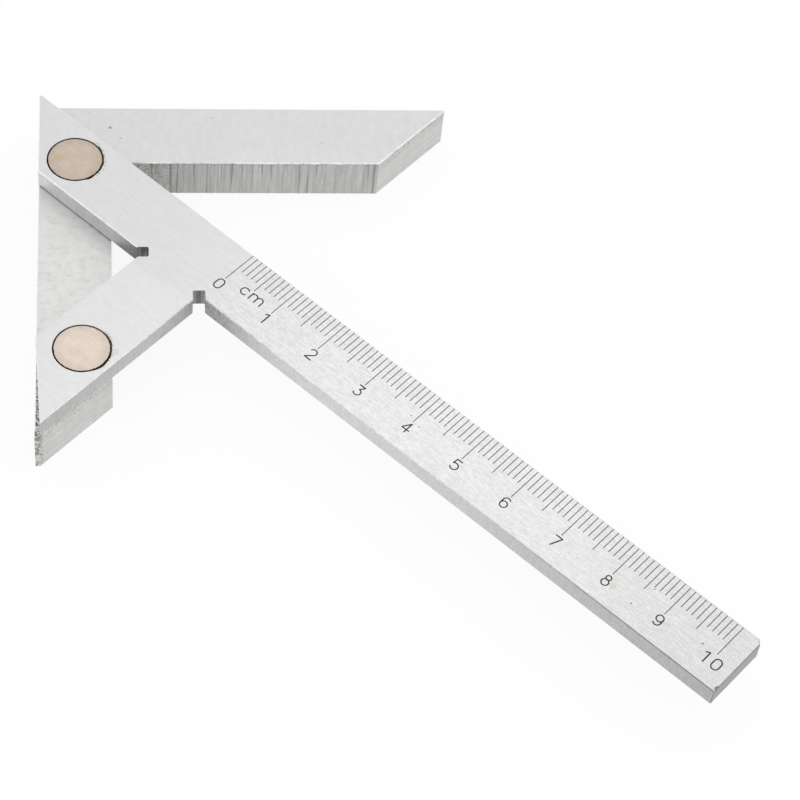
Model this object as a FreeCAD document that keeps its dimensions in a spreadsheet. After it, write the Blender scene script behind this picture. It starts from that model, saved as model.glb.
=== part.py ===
"""Centre square: a graduated steel blade riveted across the corner of an L-shaped stock.

Row frame: millimetres, +Z up, origin at the outer corner of the L on the stock's underside.
One leg of the stock runs along +X, the other along -Y, and the blade's graduated edge starts
over the origin and bisects the right angle between them.
"""
import FreeCAD, Part
import os
import re

import Sketcher
from FreeCAD import Placement, Rotation, Vector

# ---------------------------------------------------------------- driving dimensions
DIMENSIONS = [
    ("leg_length", 68.4, "outer length of each leg, to the sharp point of its 45 degree end"),
    ("leg_width", 12.0, "width of each leg of the stock"),
    ("stock_thickness", 8.0, "thickness of the stock"),
    ("across_tip_flat", 0.2, "blunt flat on the point of the leg along X"),
    ("down_tip_flat", 0.8, "blunt flat on the point of the leg along -Y"),
    ("blade_length", 152.6, "graduated edge, from the outer corner of the L to the far end"),
    ("blade_width", 12.0, "width of the graduated blade"),
    ("blade_thickness", 3.6, "thickness of the plate that blade and brace are cut from"),
    ("brace_width", 12.45, "width of the brace arm"),
    ("brace_tip_setback", 0.9, "how far the brace's point stands back from the stock's side"),
    ("apex_flat", 0.5, "blunt flat on the blade's point over the outer corner"),
    ("scale_corner", 0.7, "corner break at the blade's far end, on the graduated edge"),
    ("plain_corner", 0.12, "corner break at the blade's far end, on the plain edge"),
    ("edge_break", 0.12, "fine chamfer round the upper edges"),
    ("relief_width", 2.0, "width of the relief slots where brace and blade meet"),
    ("relief_depth", 0.8, "how far a relief slot runs past its corner"),
    ("rivet_head_radius", 4.65, "mouth of the countersunk rivet seats"),
    ("rivet_shank_radius", 3.0, "rivet shank"),
    ("rivet_land", 0.6, "straight wall at the mouth of a rivet seat"),
    ("rivet_ring_gap", 0.26, "gap round the head of a rivet"),
    ("rivet_clearance", 0.02, "radial clearance of a rivet's shank in its hole"),
    ("lower_rivet_from_end", 5.6, "lower rivet, in from the outer edge of the brace"),
    ("lower_rivet_from_side", 7.25, "lower rivet, in from the side of the stock"),
    ("scale_start", 49.0, "first graduation, from the outer corner along the blade"),
    ("line_pitch", 1.0, "distance between graduations"),
    ("line_count", 101, "number of graduations"),
    ("line_width", 0.15, "width of a graduation"),
    ("stroke_width", 0.22, "width of the strokes of numerals and letters"),
    ("short_line", 3.9, "length of a millimetre line"),
    ("half_line", 5.25, "length of a five millimetre line"),
    ("long_line", 6.6, "length of a centimetre line"),
    ("numeral_height", 2.0, "height of a numeral, between stroke centres"),
    ("numeral_top", 7.05, "top of the numerals, in from the graduated edge"),
    ("numeral_pitch", 2.0, "distance between the two numerals of ten"),
    ("unit_height", 1.4, "height of the unit's letters, between stroke centres"),
    ("unit_top", 5.6, "top of the unit's letters, in from the graduated edge"),
    ("unit_along", 4.0, "unit's first letter, from the first graduation"),
    ("unit_pitch", 2.45, "distance between the unit's letters"),
    ("engraving_depth", 0.15, "depth of the engraving"),
    ("infill_recess", 0.03, "how far the paint in the engraving lies below the surface"),
]

doc = FreeCAD.newDocument("centre_square")
sheet = doc.addObject("Spreadsheet::Sheet", "dimensions")
for row, (alias, value, note) in enumerate(DIMENSIONS, start=1):
    sheet.set(f"A{row}", note)
    sheet.set(f"B{row}", str(value))
    sheet.setAlias(f"B{row}", alias)
doc.recompute()

size = {alias: float(sheet.get(alias)) for alias, _, _ in DIMENSIONS}

# places that follow from the driving dimensions, as expressions of them
BRACE_OUTER = "leg_length / sqrt(2)"
BRACE_INNER = f"({BRACE_OUTER} - brace_width)"
TOTAL = "(stock_thickness + blade_thickness)"
SEAT = "(rivet_land + rivet_head_radius - rivet_shank_radius)"
DISC = "(rivet_head_radius - rivet_ring_gap)"
HOLE = "(rivet_shank_radius + rivet_clearance)"
# rivet axes, along and across the blade: the upper one is where the centre lines of blade and leg
# cross, and the lower one is in the brace
UPPER_ALONG = "(blade_width / 2 + leg_width / sqrt(2))"
UPPER_ACROSS = "(blade_width / 2)"
LOWER_ALONG = f"({BRACE_OUTER} - lower_rivet_from_end)"
LOWER_ACROSS = f"({LOWER_ALONG} - lower_rivet_from_side * sqrt(2))"


def bound(expression):
    """The expression with every dimension's name pointing at its cell of the sheet."""
    return re.sub(r"[a-z_]{3,}", lambda m: f"dimensions.{m[0]}" if m[0] in size else m[0], expression)


def measure(expression):
    """The expression's value now, in millimetres."""
    return float(sheet.evalExpression(bound(expression)))


# ---------------------------------------------------------------- modelling helpers
def new_body(name, height=None, turned=0):
    """A PartDesign body, turned about Z and lifted to a height."""
    body = doc.addObject("PartDesign::Body", name)
    body.Placement = Placement(Vector(), Rotation(Vector(0, 0, 1), turned))
    if height:
        body.setExpression("Placement.Base.z", bound(height))
    return body


def new_sketch(body, name, plane="XY_Plane", along=None, across=None):
    """A sketch on an origin plane of the body. An upright one may be moved to a rivet's axis."""
    sketch = body.newObject("Sketcher::SketchObject", name)
    support = next(f for f in body.Origin.OriginFeatures if f.Role == plane)
    sketch.AttachmentSupport = [(support, "")]
    sketch.MapMode = "FlatFace"
    if along:
        sketch.setExpression("AttachmentOffset.Base.x", bound(along))
        sketch.setExpression("AttachmentOffset.Base.z", bound(across))
    return sketch


def outline(sketch, corners):
    """A closed outline of straight lines, each corner bound to its two expressions."""
    points = [Vector(measure(x), measure(y), 0) for x, y in corners]
    for start, end in zip(points, points[1:] + points[:1]):
        sketch.addGeometry(Part.LineSegment(start, end))
    for line in range(len(points)):
        follower = (line + 1) % len(points)
        sketch.addConstraint(Sketcher.Constraint("Coincident", line, 2, follower, 1))
    for line, (point, corner) in enumerate(zip(points, corners)):
        for kind, value, expression in zip(("DistanceX", "DistanceY"), point, corner):
            rule = sketch.addConstraint(Sketcher.Constraint(kind, -1, 1, line, 1, value))
            sketch.setExpression(f"Constraints[{rule}]", bound(expression))


def pad(body, sketch, length):
    """Extrude the sketch upwards."""
    feature = body.newObject("PartDesign::Pad", f"{sketch.Name}_pad")
    feature.Profile = sketch
    feature.setExpression("Length", bound(length))
    doc.recompute()
    return feature


def break_upper_edges(body, height):
    """Chamfer the outline's edges in the body's top plane."""
    top = measure(height)
    blank = body.Tip
    names = [f"Edge{number}" for number, edge in enumerate(blank.Shape.Edges, start=1)
             if all(abs(vertex.Z - top) < 1e-6 for vertex in edge.Vertexes)]
    chamfer = body.newObject("PartDesign::Chamfer", f"{body.Name}_edge_break")
    chamfer.Base = (blank, names)
    chamfer.setExpression("Size", bound("edge_break"))
    doc.recompute()


def cut_relief(body, name, corner, heading, height):
    """A square-ended slot from a corner's mouth to just past it, along a diagonal of the sketch."""
    x, y = corner
    step_x, step_y = (f"{sign} / sqrt(2)" for sign in heading)
    ends = [(reach, side) for reach, side in (("-relief_width", "+"), ("relief_depth", "+"),
                                              ("relief_depth", "-"), ("-relief_width", "-"))]
    corners = [(f"{x} + ({reach}) * ({step_x}) {side} relief_width / 2 * ({step_y})",
                f"{y} + ({reach}) * ({step_y}) {'-' if side == '+' else '+'} relief_width / 2 * ({step_x})")
               for reach, side in ends]
    sketch = new_sketch(body, name)
    outline(sketch, corners)
    before = body.Tip.Shape.Volume
    pocket = body.newObject("PartDesign::Pocket", f"{name}_pocket")
    pocket.Profile = sketch
    pocket.Reversed = True
    pocket.setExpression("Length", bound(height))
    doc.recompute()
    assert pocket.Shape.Volume < before, name


def turn(body, sketch, kind):
    """Revolve the sketch a full turn about its own upright axis, to add or to cut."""
    before = body.Tip.Shape.Volume if body.Tip else 0
    feature = body.newObject(f"PartDesign::{kind}", f"{sketch.Name}_turned")
    feature.Profile = sketch
    feature.ReferenceAxis = (sketch, ["V_Axis"])
    feature.Angle = 360
    doc.recompute()
    assert abs(feature.Shape.Volume - before) > 1, sketch.Name


# ---------------------------------------------------------------- stock
RIVETS = {
    "upper_rivet": (UPPER_ALONG, UPPER_ACROSS),
    "lower_rivet": (LOWER_ALONG, LOWER_ACROSS),
}


def in_row_frame(along, across):
    """A rivet's X and -Y in the row frame, from its place along and across the blade."""
    return f"(({along} - {across}) / sqrt(2))", f"(({along} + {across}) / sqrt(2))"


stock = new_body("stock")
stock_outline = new_sketch(stock, "stock_outline")
outline(stock_outline, [
    ("0", "0"),
    ("leg_length - across_tip_flat", "0"),
    ("leg_length - across_tip_flat", "-across_tip_flat"),
    ("leg_length - leg_width", "-leg_width"),
    ("leg_width", "-leg_width"),
    ("leg_width", "-(leg_length - leg_width)"),
    ("down_tip_flat", "-(leg_length - down_tip_flat)"),
    ("0", "-(leg_length - down_tip_flat)"),
])
pad(stock, stock_outline, "stock_thickness")
break_upper_edges(stock, "stock_thickness")
for rivet_name, place in RIVETS.items():
    seat = new_sketch(stock, f"{rivet_name}_lower_seat", "XZ_Plane", *in_row_frame(*place))
    outline(seat, [
        ("0", "0"),
        ("rivet_head_radius", "0"),
        ("rivet_head_radius", "rivet_land"),
        (HOLE, f"{SEAT} - rivet_clearance"),
        (HOLE, "stock_thickness"),
        ("0", "stock_thickness"),
    ])
    turn(stock, seat, "Groove")

# ---------------------------------------------------------------- blade and brace, one plate
# In the plate's own frame X runs along the graduated edge and the plate lies at negative Y.
PLATE_TURN = -45
plate = new_body("plate", "stock_thickness", PLATE_TURN)
plate_outline = new_sketch(plate, "plate_outline")
outline(plate_outline, [
    ("apex_flat", "0"),
    ("blade_length - scale_corner", "0"),
    ("blade_length", "-scale_corner"),
    ("blade_length", "-(blade_width - plain_corner)"),
    ("blade_length - plain_corner", "-blade_width"),
    (BRACE_OUTER, "-blade_width"),
    (BRACE_OUTER, f"-({BRACE_OUTER} - brace_tip_setback * sqrt(2))"),
    (BRACE_INNER, f"-{BRACE_INNER}"),
    (BRACE_INNER, "-blade_width"),
    ("blade_width", "-blade_width"),
    ("apex_flat", "-apex_flat"),
])
pad(plate, plate_outline, "blade_thickness")
break_upper_edges(plate, "blade_thickness")
cut_relief(plate, "inner_relief", (BRACE_INNER, "-blade_width"), (1, 1), "blade_thickness")
cut_relief(plate, "outer_relief", (BRACE_OUTER, "-blade_width"), (-1, 1), "blade_thickness")
for rivet_name, place in RIVETS.items():
    seat = new_sketch(plate, f"{rivet_name}_upper_seat", "XZ_Plane", *place)
    outline(seat, [
        ("0", "0"),
        (HOLE, "0"),
        (HOLE, f"blade_thickness - {SEAT} + rivet_clearance"),
        ("rivet_head_radius", "blade_thickness - rivet_land"),
        ("rivet_head_radius", "blade_thickness"),
        ("0", "blade_thickness"),
    ])
    turn(plate, seat, "Groove")

# ---------------------------------------------------------------- rivets, ground flush both sides
for rivet_name, place in RIVETS.items():
    rivet = new_body(rivet_name)
    profile = new_sketch(rivet, f"{rivet_name}_profile", "XZ_Plane", *in_row_frame(*place))
    outline(profile, [
        ("0", "0"),
        (DISC, "0"),
        (DISC, "rivet_land + rivet_ring_gap"),
        ("rivet_shank_radius", SEAT),
        ("rivet_shank_radius", f"{TOTAL} - {SEAT}"),
        (DISC, f"{TOTAL} - rivet_land - rivet_ring_gap"),
        (DISC, TOTAL),
        ("0", TOTAL),
    ])
    turn(rivet, profile, "Revolution")

# ---------------------------------------------------------------- graduations
# The engraving is modelled as the material it takes out: its floor is at the body's own Z = 0.
ENGRAVING_FLOOR = f"{TOTAL} - engraving_depth"
CUTTER_HEIGHT = "2 * engraving_depth"
OVERRUN = "blade_thickness"
graduations = new_body("graduations", ENGRAVING_FLOOR, PLATE_TURN)
graduations.AllowCompound = True
for line_name, length, every in (("short_line", "short_line", 1), ("half_line", "half_line", 5),
                                 ("long_line", "long_line", 10)):
    line_sketch = new_sketch(graduations, f"{line_name}_sketch")
    outline(line_sketch, [
        ("scale_start - line_width / 2", OVERRUN),
        ("scale_start - line_width / 2", f"-{length}"),
        ("scale_start + line_width / 2", f"-{length}"),
        ("scale_start + line_width / 2", OVERRUN),
    ])
    first_line = pad(graduations, line_sketch, CUTTER_HEIGHT)
    row_of_lines = graduations.newObject("PartDesign::LinearPattern", f"{line_name}_row")
    row_of_lines.Originals = [first_line]
    row_of_lines.Direction = (line_sketch, ["H_Axis"])
    steps = f"floor((line_count - 1) / {every})"
    row_of_lines.setExpression("Length", bound(f"{steps} * {every} * line_pitch"))
    row_of_lines.setExpression("Occurrences", bound(f"{steps} + 1"))
    graduations.Tip = row_of_lines
    doc.recompute()

# One stroke is a pen path: (x, y) draws a straight line to a point, and (x, y, end x, end y) an arc
# through the first point to the second. Numerals are one unit high and centred on x = 0.
RING_TOP, RING_FOOT = [(-0.3, 0.3), (0, 0.6, 0.3, 0.3)], [(0.3, 0.3), (0, 0, -0.3, 0.3)]
STROKES = {
    "0": [[(0, 1), (0.226, 0.906, 0.32, 0.68), (0.32, 0.32), (0.226, 0.094, 0, 0)],
          [(0, 0), (-0.226, 0.094, -0.32, 0.32), (-0.32, 0.68), (-0.226, 0.906, 0, 1)]],
    "1": [[(-0.24, 0.85), (0.06, 1), (0.06, 0)]],
    "2": [[(-0.28, 0.8), (0.08, 0.99, 0.26, 0.55), (-0.32, 0), (0.33, 0)]],
    "3": [[(-0.27, 1), (0.28, 1), (-0.03, 0.6), (0.29, 0.3, -0.27, 0.15)]],
    "4": [[(0.12, 0), (0.12, 1)], [(0.12, 1), (-0.33, 0.3), (0.36, 0.3)]],
    "5": [[(0.27, 1), (-0.2, 1), (-0.24, 0.53), (0.33, 0.31, -0.27, 0.14)]],
    "6": [[(-0.3, 0.3), (-0.3, 0.68), (-0.127, 0.952, 0.23, 0.873)], RING_TOP, RING_FOOT],
    "7": [[(-0.31, 1), (0.31, 1), (-0.12, 0)]],
    "8": [[(-0.22, 0.78), (0, 1, 0.22, 0.78)], [(0.22, 0.78), (0, 0.56, -0.22, 0.78)], RING_TOP, RING_FOOT],
    "c": [[(0.354, 0.854), (-0.5, 0.5, 0.354, 0.146)]],
    "m": [[(-0.83, 1), (-0.83, 0)], [(-0.83, 0.6), (-0.415, 1, 0, 0.6), (0, 0)],
          [(0, 0.6), (0.415, 1, 0.83, 0.6), (0.83, 0)]],
}


def straight_track(start, end, radius):
    """Outline of a straight stroke with round ends."""
    along = (end - start).normalize() * radius
    side = Vector(-along.y, along.x, 0)
    return Part.Wire([
        Part.LineSegment(start + side, end + side).toShape(),
        Part.Arc(end + side, end + along, end - side).toShape(),
        Part.LineSegment(end - side, start - side).toShape(),
        Part.Arc(start - side, start - along, start + side).toShape(),
    ])


def engraved_stroke(path, height):
    """The cut along one pen path, one stroke wide and round at its ends."""
    radius = size["stroke_width"] / 2
    here = Vector(*path[0]) * height
    edges = []
    for step in path[1:]:
        there = Vector(*step[-2:]) * height
        if len(step) == 4:
            edges.append(Part.Arc(here, Vector(*step[:2]) * height, there).toShape())
        else:
            edges.append(Part.LineSegment(here, there).toShape())
        here = there
    if len(path) == 2 and len(path[1]) == 2:
        track = straight_track(Vector(*path[0]) * height, here, radius)
    else:
        track = Part.Wire(edges).makeOffset2D(radius)
    return Part.Face(track).extrude(Vector(0, 0, measure(CUTTER_HEIGHT)))


def engraved_character(character, along, top, height):
    """One numeral or letter, its middle at a distance along the blade. A nine is a six turned over."""
    upside_down = character == "9"
    strokes = [engraved_stroke(path, height) for path in STROKES["6" if upside_down else character]]
    shape = strokes[0].fuse(strokes[1:]) if len(strokes) > 1 else strokes[0]
    if upside_down:
        shape.rotate(Vector(0, height / 2, 0), Vector(0, 0, 1), 180)
    shape.translate(Vector(along, -top - height, 0))
    return shape.removeSplitter()


characters = []
CENTIMETRE = 10
for number in range(int((size["line_count"] - 1) / CENTIMETRE) + 1):
    middle = size["scale_start"] + number * CENTIMETRE * size["line_pitch"]
    digits = str(number)
    for position, digit in enumerate(digits):
        along = middle + (position - (len(digits) - 1) / 2) * size["numeral_pitch"]
        characters.append(engraved_character(digit, along, size["numeral_top"], size["numeral_height"]))
for position, letter in enumerate("cm"):
    along = size["scale_start"] + size["unit_along"] + position * size["unit_pitch"]
    characters.append(engraved_character(letter, along, size["unit_top"], size["unit_height"]))

numerals = doc.addObject("Part::Feature", "numerals")
numerals.Shape = Part.makeCompound(characters)
numerals.Placement = Placement(Vector(0, 0, measure(ENGRAVING_FLOOR)), Rotation(Vector(0, 0, 1), PLATE_TURN))
engraving = doc.addObject("Part::Compound", "engraving")
engraving.Links = [graduations, numerals]

blade = doc.addObject("Part::Cut", "blade")
blade.Base = plate
blade.Tool = engraving

# ---------------------------------------------------------------- paint in the engraving
paint_level = doc.addObject("Part::Box", "paint_level")
paint_level.Placement = Placement(Vector(), Rotation(Vector(0, 0, 1), PLATE_TURN))
for target, expression in (("Placement.Base.x", "-blade_width / sqrt(2)"),
                           ("Placement.Base.y", "-blade_width / sqrt(2)"),
                           ("Placement.Base.z", ENGRAVING_FLOOR),
                           ("Length", "blade_length"),
                           ("Width", "blade_width - edge_break"),
                           ("Height", "engraving_depth - infill_recess")):
    paint_level.setExpression(target, bound(expression))
infill = doc.addObject("Part::Common", "graduation_infill")
infill.Base = engraving
infill.Tool = paint_level
doc.recompute()

# ---------------------------------------------------------------- checks and export
for item in doc.Objects:
    if {"Invalid", "Error"} & set(item.State):
        raise RuntimeError(f"{item.Label} did not recompute")

sub_parts = [stock, blade, *(doc.getObject(name) for name in RIVETS), infill]
os.makedirs("parts", exist_ok=True)
for item in sub_parts:
    if item.Shape.isNull() or not item.Shape.isValid():
        raise RuntimeError(f"{item.Label} has no valid shape")
    item.Shape.exportStep(f"parts/{item.Label}.step")
    box = item.Shape.BoundBox
    print(f"{item.Label}: {len(item.Shape.Solids)} solids, {item.Shape.Volume:.1f} mm3, "
          f"{box.XLength:.2f} x {box.YLength:.2f} x {box.ZLength:.2f} mm")
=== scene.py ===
# %% [markdown]
# # A centre-finding square
# The object is a small steel tool for finding the middle of round work. An L-shaped stock lies
# under a flat plate, and the plate is a rule and a slanting brace in one piece, held by two rivets
# that are filed flush. This lesson loads those pieces as they were designed, lights them as in a
# small studio, and gives each one the finish that its own making leaves on it.

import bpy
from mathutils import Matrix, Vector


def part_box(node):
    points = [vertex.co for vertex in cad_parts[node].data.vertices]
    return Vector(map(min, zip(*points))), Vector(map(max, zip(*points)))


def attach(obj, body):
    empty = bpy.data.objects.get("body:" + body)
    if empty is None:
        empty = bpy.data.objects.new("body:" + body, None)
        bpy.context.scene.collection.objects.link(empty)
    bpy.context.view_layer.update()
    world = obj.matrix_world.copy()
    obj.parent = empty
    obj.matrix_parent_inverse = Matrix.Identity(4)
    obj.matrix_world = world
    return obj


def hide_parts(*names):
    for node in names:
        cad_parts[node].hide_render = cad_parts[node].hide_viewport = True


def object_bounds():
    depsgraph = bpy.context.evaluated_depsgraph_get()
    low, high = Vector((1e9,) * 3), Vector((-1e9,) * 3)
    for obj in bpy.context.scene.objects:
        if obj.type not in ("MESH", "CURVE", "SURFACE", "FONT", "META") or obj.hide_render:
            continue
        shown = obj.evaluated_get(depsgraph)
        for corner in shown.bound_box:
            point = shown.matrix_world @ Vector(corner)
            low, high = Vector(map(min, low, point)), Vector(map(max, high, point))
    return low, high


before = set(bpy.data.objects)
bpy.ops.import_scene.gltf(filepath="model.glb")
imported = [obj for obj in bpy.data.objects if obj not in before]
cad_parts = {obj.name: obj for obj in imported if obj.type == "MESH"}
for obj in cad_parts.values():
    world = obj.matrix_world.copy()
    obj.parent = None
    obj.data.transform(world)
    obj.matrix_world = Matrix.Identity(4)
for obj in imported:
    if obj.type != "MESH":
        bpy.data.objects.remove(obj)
cad_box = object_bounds()
print("pieces:", sorted(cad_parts), "box:", [tuple(round(c, 4) for c in corner) for corner in cad_box])

# %% [markdown]
# ## Sizes and directions
# Everything is in metres, so a value in millimetres is multiplied by one named constant. The rule
# lies at 45 degrees to the stock's legs. Its own directions are along the graduated edge and
# across it, and every grain and mark on the plate is placed in those.

# %% Sizes and directions
from math import degrees, radians, sqrt

import bmesh
import bpy
from mathutils import Matrix, Vector, noise

MM = 0.001
RULE_TURN = radians(45)
ALONG_RULE = Vector((1, -1, 0)) / sqrt(2)
ACROSS_RULE = Vector((-1, -1, 0)) / sqrt(2)
PLATE_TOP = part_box("blade")[1].z
STOCK_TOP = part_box("stock")[1].z
print("plate top and stock top, mm:", round(PLATE_TOP / MM, 2), round(STOCK_TOP / MM, 2))


def on_plate(along, across, height=PLATE_TOP):
    """The point that many millimetres along the graduated edge and in from it."""
    point = (ALONG_RULE * along + ACROSS_RULE * across) * MM
    return Vector((point.x, point.y, height))


# %% [markdown]
# ## Camera
# A long lens far above the tool keeps its parallel edges nearly parallel. The camera is placed by
# its position, and by three turns that a person with a tripod would make: round, down and a slight
# tilt to one side. A Blender camera looks straight down until it is turned up to look ahead.

# %% Camera
CAMERA_AT = Vector((12.70, -323.71, 370.66)) * MM
CAMERA_AZIMUTH = radians(9.55)
CAMERA_DOWN = radians(53.68)
CAMERA_TILT = radians(7.51)
STRAIGHT_AHEAD = radians(90)
FOCAL_LENGTH, SENSOR_WIDTH = 128.91, 36
NEAREST, FARTHEST = 0.01, 20

lens = bpy.data.cameras.new("studio_camera")
lens.lens, lens.sensor_width = FOCAL_LENGTH, SENSOR_WIDTH
lens.clip_start, lens.clip_end = NEAREST, FARTHEST
camera = bpy.data.objects.new("studio_camera", lens)
bpy.context.scene.collection.objects.link(camera)
camera.matrix_world = (
    Matrix.Translation(CAMERA_AT)
    @ Matrix.Rotation(-CAMERA_AZIMUTH, 4, "Z")
    @ Matrix.Rotation(STRAIGHT_AHEAD - CAMERA_DOWN, 4, "X")
    @ Matrix.Rotation(CAMERA_TILT, 4, "Z")
)
bpy.context.scene.camera = camera
bpy.context.scene.view_settings.view_transform = "Standard"
print("camera is", round(camera.location.length, 3), "m from the outer corner")

# %% [markdown]
# ## Two helpers for finishes
# Colours are easiest to choose and compare as sRGB hex values, but shaders work in linear light, so
# one function turns the one into the other. A second function adds any node, with its settings and
# the links that feed it.

# %% Colour and node helpers
def linear(hex_colour):
    """An sRGB hex value such as "#D9DAD8" as linear RGBA."""
    channels = [int(hex_colour[i : i + 2], 16) / 255 for i in (1, 3, 5)]
    return (*(c / 12.92 if c <= 0.04045 else ((c + 0.055) / 1.055) ** 2.4 for c in channels), 1.0)


def add_node(tree, kind, inputs=None, **settings):
    """A node of that kind. inputs gives each socket a value, or another node's output to link."""
    node = tree.nodes.new("ShaderNode" + kind)
    for name, value in settings.items():
        setattr(node, name, value)
    for socket, value in (inputs or {}).items():
        if isinstance(value, bpy.types.NodeSocket):
            tree.links.new(value, node.inputs[socket])
        else:
            node.inputs[socket].default_value = value
    return node


def new_material(name):
    """An empty node material and its tree."""
    material = bpy.data.materials.new(name)
    material.use_nodes = True
    material.node_tree.nodes.clear()
    return material, material.node_tree


print("mid grey in linear light:", round(linear("#808080")[0], 3))

# %% [markdown]
# ## Floor and light
# The tool lies on white paper in a light tent. The tent is the world, which is bright from every
# side, and one wide lamp over the far side gives the ground faces a soft sheen. The paper has to
# look white and still take the tool's shadow, so most of its brightness towards the camera, and in
# the reflections, is its own, and the rest is the light that falls on it.

# %% Floor
def seen_directly(tree):
    """1 for the rays that show a surface to the camera or in a reflection, and 0 for the others."""
    path = add_node(tree, "LightPath")
    seen = path.outputs["Is Camera Ray"]
    for kind in ("Is Glossy Ray", "Is Transmission Ray"):
        seen = add_node(tree, "Math", {0: seen, 1: path.outputs[kind]}, operation="MAXIMUM").outputs[0]
    return seen


PAPER_OWN_LIGHT = 0.90
paper, tree = new_material("white_paper")
paper_lit = add_node(tree, "BsdfDiffuse", {"Color": linear("#FCFCFC")})
paper_glow = add_node(tree, "Emission", {"Color": (1, 1, 1, 1), "Strength": 1.0})
share = add_node(tree, "Math", {0: seen_directly(tree), 1: PAPER_OWN_LIGHT}, operation="MULTIPLY")
paper_look = add_node(tree, "MixShader", {
    0: share.outputs[0], 1: paper_lit.outputs[0], 2: paper_glow.outputs[0]})
add_node(tree, "OutputMaterial", {"Surface": paper_look.outputs[0]})

FLOOR_HALF_SIDE = 3.0
bm = bmesh.new()
bmesh.ops.create_grid(bm, x_segments=1, y_segments=1, size=FLOOR_HALF_SIDE)
floor_mesh = bpy.data.meshes.new("floor")
bm.to_mesh(floor_mesh)
bm.free()
floor = bpy.data.objects.new("floor", floor_mesh)
floor_mesh.materials.append(paper)
bpy.context.scene.collection.objects.link(floor)
print("floor side, m:", 2 * FLOOR_HALF_SIDE)

# %% World and lamp
TENT_LIGHT = 1.0
world = bpy.data.worlds.new("light_tent")
world.use_nodes = True
tree = world.node_tree
tree.nodes.clear()
tent = add_node(tree, "Background", {"Color": (1, 1, 1, 1), "Strength": TENT_LIGHT})
backdrop = add_node(tree, "Background", {"Color": (1, 1, 1, 1), "Strength": 1.0})
tent_look = add_node(tree, "MixShader", {0: seen_directly(tree), 1: tent.outputs[0], 2: backdrop.outputs[0]})
add_node(tree, "OutputWorld", {"Surface": tent_look.outputs[0]})
bpy.context.scene.world = world


def lamp(name, position, aim, side, power):
    """A square soft lamp at a position in metres, aimed at a point."""
    light = bpy.data.lights.new(name, "AREA")
    light.shape, light.size, light.energy = "SQUARE", side, power
    holder = bpy.data.objects.new(name, light)
    holder.location = position
    holder.rotation_euler = (Vector(aim) - Vector(position)).to_track_quat("-Z", "Y").to_euler()
    bpy.context.scene.collection.objects.link(holder)
    return holder


SOFTBOX_FROM_MIDDLE = Vector((0.25, 0.55, 0.85))
SOFTBOX_SIDE, SOFTBOX_POWER = 0.7, 0.35
middle = (cad_box[0] + cad_box[1]) / 2
key_lamp = lamp("overhead_softbox", middle + SOFTBOX_FROM_MIDDLE, middle, SOFTBOX_SIDE, SOFTBOX_POWER)
print("lamp power, W:", key_lamp.data.energy)

# %% [markdown]
# ## Marks that a cut leaves
# Each face of this tool shows how it was cut: the wheel, the mill, the saw or the file leaves
# parallel marks of its own length and width. They could be drawn one by one, but a noise that is
# stretched along the cut makes thousands of them from two Mapping nodes. The first turns the place
# on the tool to the direction of the cut, and the second divides it by the size of one mark.
# Real grinding marks are a few hundredths of a millimetre wide, which is too fine to see, so they
# are drawn about a quarter of a millimetre wide here.

# %% Noise, ramps and multiplying
NOISE_ROUGHNESS = 0.6


def marks(tree, place, turn, size, seed=0.0, detail=3.0):
    """Noise from 0 to 1. A mark has that size in mm along x, y and z, after the turn."""
    turned = add_node(tree, "Mapping", {"Vector": place, "Rotation": turn})
    scale = tuple(1 / (side * MM) for side in size)
    laid = add_node(tree, "Mapping", {
        "Vector": turned.outputs[0], "Scale": scale, "Location": (seed, seed, seed)})
    pattern = add_node(tree, "TexNoise", {
        "Vector": laid.outputs[0], "Scale": 1.0, "Detail": detail, "Roughness": NOISE_ROUGHNESS})
    return pattern.outputs[0]


def spread(tree, value, low, high, out_low, out_high):
    """The value from low to high as out_low to out_high, smoothly."""
    limits = {0: value, 1: low, 2: high, 3: out_low, 4: out_high}
    return add_node(tree, "MapRange", limits, interpolation_type="SMOOTHSTEP").outputs[0]


def multiply(tree, colour, factor):
    """The colour, darker or lighter by a factor."""
    inputs = {0: 1.0, 6: colour, 7: factor}
    return add_node(tree, "Mix", inputs, data_type="RGBA", blend_type="MULTIPLY").outputs[2]


def product(tree, first, second):
    """One mask or length times another."""
    return add_node(tree, "Math", {0: first, 1: second}, operation="MULTIPLY").outputs[0]


def tint(tree, colour, mask, tone):
    """The colour, replaced by a hex tone where the mask is 1."""
    return add_node(tree, "Mix", {0: mask, 6: colour, 7: linear(tone)}, data_type="RGBA").outputs[2]


print("roughness of every noise:", NOISE_ROUGHNESS)


# %% Places and tones along a direction
def position(tree, place, turn, axis=0):
    """The place along one axis, in metres, once turned about z."""
    turned = add_node(tree, "Mapping", {"Vector": place, "Rotation": turn})
    return add_node(tree, "SeparateXYZ", {0: turned.outputs[0]}).outputs[axis]


def tone_along(tree, place, turn, stops):
    """A colour ramp over the millimetres along one direction. stops is a list of (mm, hex)."""
    first, last = stops[0][0], stops[-1][0]
    share = add_node(tree, "MapRange", {0: position(tree, place, turn), 1: first * MM, 2: last * MM})
    ramp = add_node(tree, "ValToRGB", {0: share.outputs[0]})
    ramp.color_ramp.interpolation = "B_SPLINE"
    elements = ramp.color_ramp.elements
    while len(elements) < len(stops):
        elements.new(0.5)
    for element, (at, tone) in zip(elements, stops):
        element.position = (at - first) / (last - first)
        element.color = linear(tone)
    return ramp.outputs[0]


UPRIGHT = (0, 0, 0)
ALONG = (0, 0, RULE_TURN)
ACROSS = (0, 0, RULE_TURN + radians(90))
DOWN_LEG = (0, 0, radians(-90))
print("turns about z, degrees:", [round(degrees(turn[2])) for turn in (UPRIGHT, ALONG, ACROSS, DOWN_LEG)])

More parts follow.
